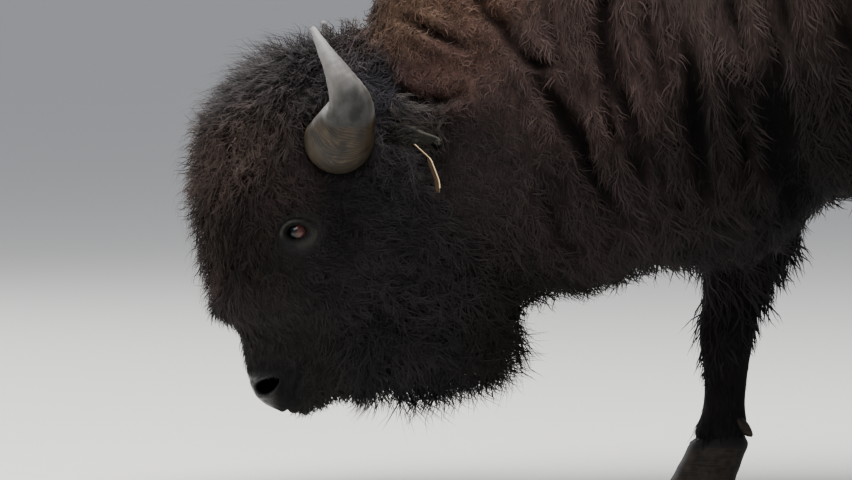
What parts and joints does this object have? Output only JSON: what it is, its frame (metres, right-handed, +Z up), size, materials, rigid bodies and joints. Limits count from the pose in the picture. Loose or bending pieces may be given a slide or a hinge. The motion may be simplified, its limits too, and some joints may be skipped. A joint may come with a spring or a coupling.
{
  "type": "american bison",
  "caption": "Grazing american bison bull with a woolly bonnet and beard, upswept horns, high humped shoulders, a tufted tail and cloven hooves.",
  "frame": {"origin": "middle of the footprint of the whole animal's box, on the floor that the hooves stand on", "axes": "+X towards the tail, so the head is at -X; +Y towards the animal's right side; +Z up"},
  "size_m": [2.7184, 0.7388, 1.777],
  "materials": {
    "coat": "short to medium dark brown hair on barrel, rump, legs and tail",
    "cape": "long wavy wool of neck and shoulders, warm brown to chocolate",
    "bonnet": "dense curly black-brown wool of forehead, cheeks and beard",
    "muzzle": "black skin with very short hair, moist round the nostrils",
    "horn": "worn grey keratin, olive-brown and ringed at the base",
    "hoof": "dull dark keratin",
    "eye": "wet, very dark brown",
    "ear": "short dark hair, greyer and longer inside",
    "tag": "blank, sun-faded tan plastic"
  },
  "bodies": {
    "root": {"barrel": "coat", "beard": "bonnet", "bonnet": "bonnet", "ear_tag": "tag", "head": "bonnet", "left_ear": "ear", "left_eye": "eye", "left_fore_inner_claw": "hoof", "left_fore_lower_leg": "coat", "left_fore_outer_claw": "hoof", "left_fore_upper_leg": "coat", "left_hind_inner_claw": "hoof", "left_hind_lower_leg": "coat", "left_hind_outer_claw": "hoof", "left_hind_upper_leg": "coat", "left_horn": "horn", "lower_jaw": "muzzle", "muzzle": "muzzle", "neck": "cape", "right_ear": "ear", "right_eye": "eye", "right_fore_inner_claw": "hoof", "right_fore_lower_leg": "coat", "right_fore_outer_claw": "hoof", "right_fore_upper_leg": "coat", "right_hind_inner_claw": "hoof", "right_hind_lower_leg": "coat", "right_hind_outer_claw": "hoof", "right_hind_upper_leg": "coat", "right_horn": "horn", "rump": "coat", "shoulder_hump": "cape", "tail_dock": "coat", "tail_tuft": "coat"}
  },
  "joints": []
}
